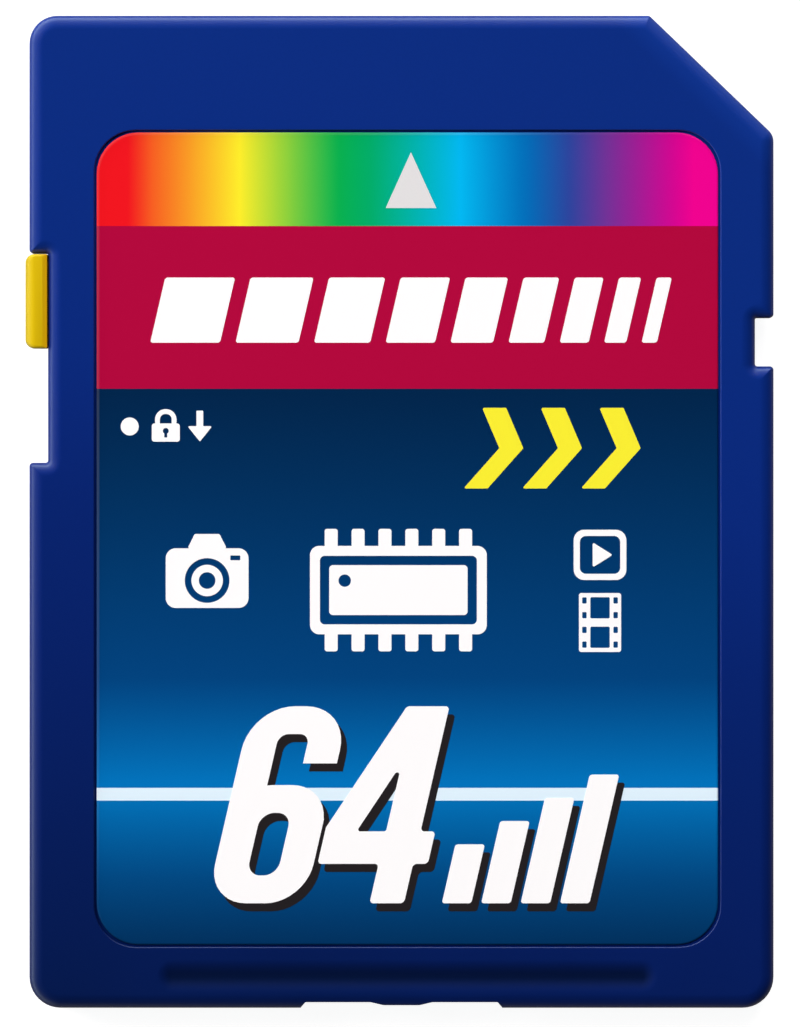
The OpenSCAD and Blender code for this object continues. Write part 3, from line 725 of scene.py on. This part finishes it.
def contact_slots():
    """An opening over each contact, out to the leading edge, and one for the last two."""
    slots = []
    for low, high in CONTACTS:
        right = high.x + SLOT_SIDE
        if low is CONTACTS[-1][0]:
            right = (CONTACTS[-2][0].x + CONTACTS[-2][1].x) / 2
        start = (low.x - SLOT_SIDE, low.y - SLOT_END)
        slots.append(block((*start, -PAST), (right, LEAD + PAST, low.z)))
        slots.append(block((*start, 0), (right, BOARD_HIGH.y + BOARD_GAP, BOARD_LOW.z + TINY)))
    return slots


def board_pocket():
    pocket = prism(pocket_outline(), BOARD_LOW.z, TOP)
    sides = [BOARD_LOW.x - BOARD_GAP, BOARD_HIGH.x + BOARD_GAP]
    bosses = [rod(x, REAR + BOSS_REAR, BOSS_R, 0, TOP + PAST) for x in sides]
    return cut(pocket, bosses)


def back_shell(finish):
    """The lower moulding, with the side rails, the board's seat and the contact slots."""
    outline = card_outline()
    mesh = loft([
        level(outline.inset(BACK_CHAMFER), 0), level(outline, BACK_CHAMFER),
        level(outline, PARTING_H - PARTING_BEVEL), level(outline.inset(PARTING_BEVEL), PARTING_H),
    ])
    chamfer = bar_along("X", [(LEAD - LEAD_CHAMFER, -TINY), (LEAD + TINY, -TINY),
                              (LEAD + TINY, LEAD_CHAMFER)], LEFT - PAST, RIGHT + PAST)
    ledge = LEDGE_W - BOARD_GAP
    hollow = block((BOARD_LOW.x + ledge, BOARD_LOW.y + ledge, BACK_WALL),
                   (BOARD_HIGH.x - ledge, CONTACTS[0][0].y - SLOT_END - LEDGE_W, BOARD_LOW.z + TINY))
    gap = Vector((FILM_GAP, FILM_GAP))
    recess = prism(film_outline(BACK_FILM_LOW.xy - gap, BACK_FILM_HIGH.xy + gap), -PAST, BACK_RECESS_D)
    mesh = cut(mesh, [*rail_steps(), gate_recess(), chamfer, board_pocket(), hollow,
                      *contact_slots(), recess, *switch_channel()])
    pins = [rod(x, y, PIN_R, PARTING_H - TINY, PARTING_H + PIN_H) for x, y in pin_places()]
    return finish_piece("back_shell_moulding", join(mesh, pins), finish, "card",
                        ["back_shell"])


def arc_inset(depth, radius):
    """How far an edge of that radius has drawn in, at a depth below its face."""
    return 0.0 if depth >= radius else radius - math.sqrt(radius ** 2 - (radius - depth) ** 2)


def switch_knob():
    """The knob: rounded on the outside, sloped down towards the notch's wall."""
    y0, y1 = SWITCH_LOW.y + HEAD_OVER, SWITCH_HIGH.y - HEAD_OVER
    z0, z1 = SWITCH_LOW.z, SWITCH_HIGH.z
    x0, x1 = SWITCH_LOW.x, LEFT + NOTCH_D - SLIDE_GAP
    turns = [math.pi / 2 * k / KNOB_STEPS for k in range(KNOB_STEPS + 1)]
    depths = [KNOB_EDGE_R * (1 - math.cos(turn)) for turn in turns]
    depths = sorted([*depths, KNOB_SLOPE_H])
    levels = [(z0 + d, d, 1.0) for d in depths] + [(z1 - d, d, d / KNOB_SLOPE_H) for d in depths[::-1]]
    rings = []
    for z, depth, slope in levels:
        outer = arc_inset(depth, KNOB_EDGE_R)
        ends = arc_inset(depth, KNOB_END_R)
        inner = KNOB_SLOPE_W * max(0.0, 1 - slope)
        corners = [(x0 + outer, y0 + ends), (x1 - inner, y0 + ends),
                   (x1 - inner, y1 - ends), (x0 + outer, y1 - ends)]
        corner = max(KNOB_CORNER_R - KNOB_CORNER_SHARE * outer, KNOB_INNER_R)
        radii = [corner, KNOB_INNER_R, KNOB_INNER_R, corner]
        rings.append(level(Outline(corners, radii), z))
    return loft(rings)


def write_protect_switch(finish):
    """The yellow switch: its knob, and the web and head that hold it in the card."""
    y0, y1 = SWITCH_LOW.y + HEAD_OVER, SWITCH_HIGH.y - HEAD_OVER
    wall_x = LEFT + NOTCH_D - SLIDE_GAP
    head_x = SWITCH_HIGH.x - HEAD_W
    web = block((wall_x - WEB_SINK, y0 + WEB_SHORT, PARTING_H - WEB_T / 2),
                (head_x + TINY, y1 - WEB_SHORT, PARTING_H + WEB_T / 2))
    head = block((head_x, SWITCH_LOW.y, PARTING_H - HEAD_H / 2),
                 (SWITCH_HIGH.x, SWITCH_HIGH.y, PARTING_H + HEAD_H / 2))
    return finish_piece("switch_knob_and_slide", join(switch_knob(), [web, head]), finish, "switch",
                        ["write_protect_slider"])


def film(name, low, high, finish, node, up):
    """A thin film with a rounded cut edge on its printed side."""
    outline = film_outline(low, high)
    face, back = (high.z, low.z) if up else (low.z, high.z)
    side = 1 if up else -1
    rings = [level(outline, back)]
    for k in range(FILM_STEPS + 1):
        turn = math.pi / 2 * k / FILM_STEPS
        rise = FILM_EDGE_H * (1 - math.sin(turn))
        rings.append(level(outline.inset(FILM_EDGE_W * (1 - math.cos(turn))), face - side * rise))
    return finish_piece(name, loft(rings), finish, "card", [node])


def contains(ring, point):
    """Is the point inside the ring? Counts the sides that a level line from it crosses."""
    x, y = point
    inside = False
    for a, b in zip(ring, [ring[-1], *ring[:-1]]):
        if (a[1] > y) != (b[1] > y) and x < a[0] + (y - a[1]) * (b[0] - a[0]) / (b[1] - a[1]):
            inside = not inside
    return inside


def covered(shapes, point):
    """A shape is a sign and a ring, and a later shape adds to or takes from the earlier ones."""
    inside = False
    for adds, ring in shapes:
        if contains(ring, point):
            inside = adds
    return inside


def ink_mesh(shapes, without, z0, z1):
    """The flat area of the shapes, less that of the others, as a closed mesh of the ink's thickness."""
    points, edges = [], []
    for _, ring in shapes + without:
        start = len(points)
        points += [Vector(p) for p in ring]
        edges += [(start + i, start + (i + 1) % len(ring)) for i in range(len(ring))]
    flat, _, faces, *_ = geometry.delaunay_2d_cdt(points, edges, [], 0, MERGE)
    mesh = bmesh.new()
    kept = []
    for face in faces:
        middle = sum((flat[i] for i in face), Vector((0, 0))) / 3
        if covered(shapes, middle) and not covered(without, middle):
            kept.append(face)
    used = sorted({i for face in kept for i in face})
    low = {i: mesh.verts.new((*flat[i], z0)) for i in used}
    high = {i: mesh.verts.new((*flat[i], z1)) for i in used}
    for a, b, c in kept:
        mesh.faces.new((high[a], high[b], high[c]))
        mesh.faces.new((low[c], low[b], low[a]))
    sides = [side for a, b, c in kept for side in ((a, b), (b, c), (c, a))]
    shared = set(sides)
    for a, b in sides:
        if (b, a) not in shared:
            mesh.faces.new((low[a], low[b], high[b], high[a]))
    return mesh


def slanted(ring, base):
    return [(x + (y - base) * SLANT, y) for x, y in ring]


def moved(shapes, shift):
    return [(adds, [(x + shift[0], y + shift[1]) for x, y in ring]) for adds, ring in shapes]


def rounded_box(x0, y0, x1, y1, radius=0.0):
    return [tuple(p) for p in rectangle(x0, y0, x1, y1, radius).points()]


def disc(x, y, radius, steps=48):
    turns = [2 * math.pi * k / steps for k in range(steps)]
    return [(x + radius * math.cos(a), y + radius * math.sin(a)) for a in turns]


def corners(*points, radius=0.0):
    return [tuple(p) for p in Outline(points, radius).points()]


def numeral_six(x, y, h):
    """A heavy six of even stroke, open at the upper right."""
    w, stroke, bowl = 0.5 * h, 0.172 * h, 0.6 * h
    upper = rounded_box(x + stroke, y + stroke, x + w - stroke, y + h - 0.82 * stroke, 0.05 * h)
    opening = [(x + w / 2, bowl + y - stroke), (x + w * 1.2, bowl + y - stroke),
               (x + w * 1.2, y + 0.71 * h), (x + w / 2, y + 0.71 * h)]
    inset = stroke * 0.82
    counter = rounded_box(x + stroke, y + inset, x + w - stroke, y + bowl - inset, 0.07 * h)
    return [
        (True, rounded_box(x, y, x + w, y + h, 0.22 * h)), (False, upper), (False, opening),
        (True, rounded_box(x, y, x + w, y + bowl, 0.2 * h)), (False, counter),
    ]


def numeral_four(x, y, h):
    """A heavy four with a closed triangle."""
    w, bar = 0.56 * h, 0.165 * h
    stem0, stem1 = x + 0.31 * h, x + 0.485 * h
    low, high = y + 0.2 * h, y + 0.2 * h + bar
    outer = corners((x, low), (stem0, low), (stem0, y), (stem1, y), (stem1, low), (x + w, low),
                    (x + w, high), (stem1, high), (stem1, y + h), (x + 0.27 * h, y + h),
                    (x, high + 0.02 * h), radius=0.02 * h)
    inner = corners((x + 0.16 * h, high), (stem0, high), (stem0, y + 0.71 * h), radius=0.012 * h)
    return [(True, outer), (False, inner)]


def level_bars(x, y, count, width, gap, low, high):
    """Rising bars, for how much the card holds."""
    bars = []
    for i in range(count):
        rise = low + (high - low) * i / (count - 1)
        at = x + i * (width + gap)
        bars.append((True, rounded_box(at, y, at + width, y + rise, 0.09)))
    return bars


def speed_stripes(x, y, height):
    """A row of slanted stripes that get thinner towards the right."""
    stripes = []
    for i in range(9):
        width = 2.25 - 0.22 * i
        stripes.append((True, rounded_box(x, y, x + width, y + height, 0.08)))
        x += width + 0.5
    return stripes


def chevrons(x, y, width, height):
    """Three arrowheads in a row."""
    made = []
    for i in range(3):
        at = x + i * width * 1.22
        made.append((True, corners((at, y), (at + 0.5 * width, y), (at + 1.05 * width, y + height / 2),
                                   (at + 0.5 * width, y + height), (at, y + height),
                                   (at + 0.55 * width, y + height / 2), radius=0.04)))
    return made


def padlock(x, y, size):
    """A closed padlock, beside the end of the switch's travel."""
    w, ring = size * 0.86, 0.15 * size
    mid = x + w / 2
    return [
        (True, rounded_box(mid - 0.33 * size, y + 0.3 * size, mid + 0.33 * size, y + size, 0.32 * size)),
        (False, rounded_box(mid - 0.33 * size + ring, y + 0.2 * size, mid + 0.33 * size - ring,
                            y + size - ring, 0.17 * size)),
        (True, rounded_box(x, y, x + w, y + 0.56 * size, 0.08 * size)),
        (False, disc(mid, y + 0.33 * size, 0.09 * size)),
        (False, rounded_box(mid - 0.045 * size, y + 0.13 * size, mid + 0.045 * size, y + 0.33 * size)),
    ]


def down_arrow(x, y, size):
    stem = 0.11 * size
    return [(True, corners((x, y), (x + 0.4 * size, y + 0.5 * size), (x + stem, y + 0.5 * size),
                           (x + stem, y + size), (x - stem, y + size), (x - stem, y + 0.5 * size),
                           (x - 0.4 * size, y + 0.5 * size), radius=0.03 * size))]


def camera_sign(x, y, w):
    """A small camera seen from the front."""
    h = 0.72 * w
    mid, lens = x + w / 2, y + 0.46 * h
    return [
        (True, corners((mid - 0.24 * w, y + h - 0.02), (mid + 0.24 * w, y + h - 0.02),
                       (mid + 0.15 * w, y + 1.24 * h), (mid - 0.15 * w, y + 1.24 * h), radius=0.06)),
        (True, rounded_box(x, y, x + w, y + h, 0.12 * w)),
        (False, disc(mid, lens, 0.27 * w)), (True, disc(mid, lens, 0.19 * w)),
        (False, disc(mid, lens, 0.1 * w)),
        (False, rounded_box(x + 0.78 * w, y + 0.8 * h, x + 0.9 * w, y + 0.88 * h, 0.02)),
    ]


def chip_sign(x, y, w, h):
    """A chip with legs on its long sides, and a plate and a dot marked on it."""
    legs, leg = 6, 0.42
    pitch = (w - 0.5) / legs
    made = []
    for i in range(legs):
        at = x + 0.25 + pitch * (i + 0.5)
        made.append((True, rounded_box(at - leg / 2, y, at + leg / 2, y + h, 0.08)))
    made += [
        (True, rounded_box(x, y + 0.55, x + w, y + h - 0.55, 0.3)),
        (False, rounded_box(x + 0.32, y + 0.87, x + w - 0.32, y + h - 0.87, 0.16)),
        (True, rounded_box(x + 0.62, y + 1.17, x + w - 0.62, y + h - 1.17, 0.12)),
        (False, disc(x + 1.12, y + h - 1.67, 0.2)),
    ]
    return made


def play_sign(x, y, w, h):
    """A rounded frame round a triangle that points to the right."""
    line = 0.2
    return [
        (True, rounded_box(x, y, x + w, y + h, 0.34)),
        (False, rounded_box(x + line, y + line, x + w - line, y + h - line, 0.2)),
        (True, corners((x + 0.36 * w, y + 0.25 * h), (x + 0.74 * w, y + 0.5 * h),
                       (x + 0.36 * w, y + 0.75 * h), radius=0.04)),
    ]


def film_strip_sign(x, y, w, h):
    """A short strip of film with holes along both sides."""
    made = [(True, rounded_box(x, y, x + w, y + h, 0.08))]
    for i in range(4):
        at = y + h * (i + 0.5) / 4
        for side in (x + 0.13 * w, x + 0.87 * w):
            made.append((False, rounded_box(side - 0.07, at - 0.1, side + 0.07, at + 0.1, 0.03)))
    for i in range(2):
        low = y + h * (0.5 * i + 0.07)
        made.append((False, rounded_box(x + 0.27 * w, low, x + 0.73 * w, low + 0.36 * h, 0.05)))
    return made


def slant_all(shapes, base):
    return [(adds, slanted(ring, base)) for adds, ring in shapes]


def label_inks():
    """The shapes that are printed over the label's bands."""
    white, dark = ink("ink_white", colour(252, 252, 252)), ink("ink_dark", colour(34, 30, 32))
    yellow, grey = ink("ink_yellow", colour(245, 236, 50)), ink("ink_grey", colour(221, 221, 221))
    size = slant_all(numeral_six(-6.3, SIZE_BASE, SIZE_H) + numeral_four(-3.0, SIZE_BASE, SIZE_H)
                     + level_bars(1.3, SIZE_BASE, 4, 0.95, 0.32, 1.9, 4.15), SIZE_BASE)
    small = slant_all(speed_stripes(-8.1, STRIPE_BASE, 2.1), STRIPE_BASE)
    small += [(True, disc(-8.76, 2.75, 0.29))]
    small += padlock(-8.05, LOCK_BASE, 1.05) + down_arrow(-6.5, LOCK_BASE, 1.0)
    small += camera_sign(-7.6, -3.1, 2.67) + chip_sign(-2.95, -4.5, 5.7, 3.95)
    small += play_sign(5.55, -2.2, 1.7, 1.62) + film_strip_sign(5.72, -4.52, 1.36, 1.9)
    parts = {
        "ink_size": (size + small, [], white),
        "ink_size_shadow": (moved(size, SHADOW_SHIFT), size, dark),
        "ink_chevrons": (slant_all(chevrons(2.0, CHEVRON_BASE, 1.55, 2.6), CHEVRON_BASE), [], yellow),
        "ink_insert_arrow": ([(True, [(-0.51, 9.79), (1.125, 9.79), (0.305, 11.59)])], [], grey),
    }
    for name, (shapes, without, finish) in parts.items():
        mesh = ink_mesh(shapes, without, FILM_HIGH.z, FILM_HIGH.z + INK_T)
        finish_piece(name, mesh, finish, "card")


def dress_inner_parts():
    """Gives every CAD node that stays visible its finish."""
    chip, gold = chip_plastic(), contact_gold()
    capacitor = ceramic_chip("capacitor_ceramic", colour(150, 116, 80), colour(176, 140, 100))
    resistor = ceramic_chip("resistor_ceramic", colour(26, 26, 30), colour(44, 44, 50))
    finishes = {
        "circuit_board": board_laminate(), "flash_memory": chip, "controller": chip,
        "flash_leads": bare_metal("lead_metal", colour(168, 168, 166), colour(206, 206, 204), 0.25),
        "controller_lands": bare_metal("solder", colour(150, 150, 152), colour(196, 196, 198), 0.3),
    }
    finishes |= {f"contact_{i}": gold for i in range(1, 10)}
    finishes |= {f"capacitor_{i}": capacitor for i in range(1, 7)}
    finishes |= {f"resistor_{i}": resistor for i in range(1, 5)}
    for node, finish in finishes.items():
        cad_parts[node].material_slots[0].material = finish


def floor_finish():
    """A matt floor that glows a little where it is seen, so that it stays white."""
    material = bpy.data.materials.new("floor")
    material.use_nodes = True
    recipe = Recipe(material.node_tree)
    recipe.tree.nodes.clear()
    tone = (FLOOR_TONE, FLOOR_TONE, FLOOR_TONE, 1)
    matt = recipe.node("ShaderNodeBsdfDiffuse", None, {"Color": tone})
    direct = recipe.node("ShaderNodeLightPath", output="Is Camera Ray")
    through = recipe.node("ShaderNodeLightPath", output="Is Transmission Ray")
    strength = recipe.maths("MAXIMUM", direct, through) * FLOOR_GLOW
    glow = recipe.node("ShaderNodeEmission", None, {"Strength": strength})
    both = recipe.node("ShaderNodeAddShader", None, {0: matt, 1: glow})
    recipe.node("ShaderNodeOutputMaterial", None, {"Surface": both}, None)
    return material


def floor():
    """A plain white floor that keeps the card's soft shadow."""
    data = bpy.data.meshes.new("floor")
    ring = [(-1, -1), (1, -1), (1, 1), (-1, 1)]
    spots = [(x * FLOOR_HALF, y * FLOOR_HALF, -FLOOR_DROP) for x, y in ring]
    data.from_pydata(spots, [], [(0, 1, 2, 3)])
    data.materials.append(floor_finish())
    plane = bpy.data.objects.new("floor", data)
    bpy.context.scene.collection.objects.link(plane)


def softbox(name, place, size, power):
    """A soft area lamp that looks at the card and shows in no reflection."""
    lamp = bpy.data.lights.new(name, "AREA")
    lamp.shape = "RECTANGLE"
    lamp.size, lamp.size_y = size
    lamp.energy = power
    lamp.color = LAMP_TINT
    holder = bpy.data.objects.new(name, lamp)
    holder.location = place
    holder.rotation_euler = (-Vector(place)).to_track_quat("-Z", "Y").to_euler()
    holder.visible_camera = False
    holder.visible_glossy = False
    bpy.context.scene.collection.objects.link(holder)


def studio_walls():
    """Low light all round: strong beyond the leading edge, weaker at the switch side, dark above."""
    world = bpy.data.worlds.new("studio")
    world.use_nodes = True
    bpy.context.scene.world = world
    walls = Recipe(world.node_tree)
    x, y, z = walls.axes(walls.node("ShaderNodeTexCoord", output="Generated"))
    rise = walls.ramp(z, [(at, (grey, grey, grey, 1)) for at, grey in WALL_RISE])
    lead = walls.maths("MAXIMUM", y - walls.maths("MAXIMUM", x, 0.0), 0.0) * WALL_LEAD
    switch = walls.maths("MAXIMUM", -1.0 * x, 0.0) * WALL_SWITCH
    background = world.node_tree.nodes["Background"]
    background.inputs["Color"].default_value = WALL_TINT
    walls.feed(background.inputs["Strength"], (lead + switch + WALL_REST) * rise)


def studio_light():
    softbox("softbox_switch", (-0.31, 0.2, 0.36), (0.3, 0.3), 2.1)
    softbox("softbox_lead", (0.12, 0.34, 0.36), (0.2, 0.2), 1.0)
    studio_walls()


def photo_camera():
    """A long lens straight above the card, with the leading edge at the top of the picture."""
    camera = bpy.data.cameras.new("photo_camera")
    camera.lens, camera.sensor_width = LENS, SENSOR
    holder = bpy.data.objects.new("photo_camera", camera)
    distance = FRAME_H * LENS / SENSOR
    holder.location = Vector((CAMERA_X, CAMERA_Y, TOP + distance)) * MM
    bpy.context.scene.collection.objects.link(holder)
    bpy.context.scene.camera = holder


card_blue = card_plastic()
front_shell(card_blue)
back_shell(card_blue)
write_protect_switch(switch_plastic())
film("front_label_film", FILM_LOW, FILM_HIGH, label_print(), "front_label", True)
film("back_label_film", BACK_FILM_LOW, BACK_FILM_HIGH, back_film(), "back_label",
     False)
label_inks()
dress_inner_parts()
floor()
studio_light()
photo_camera()
bpy.context.scene.view_settings.view_transform = "Standard"
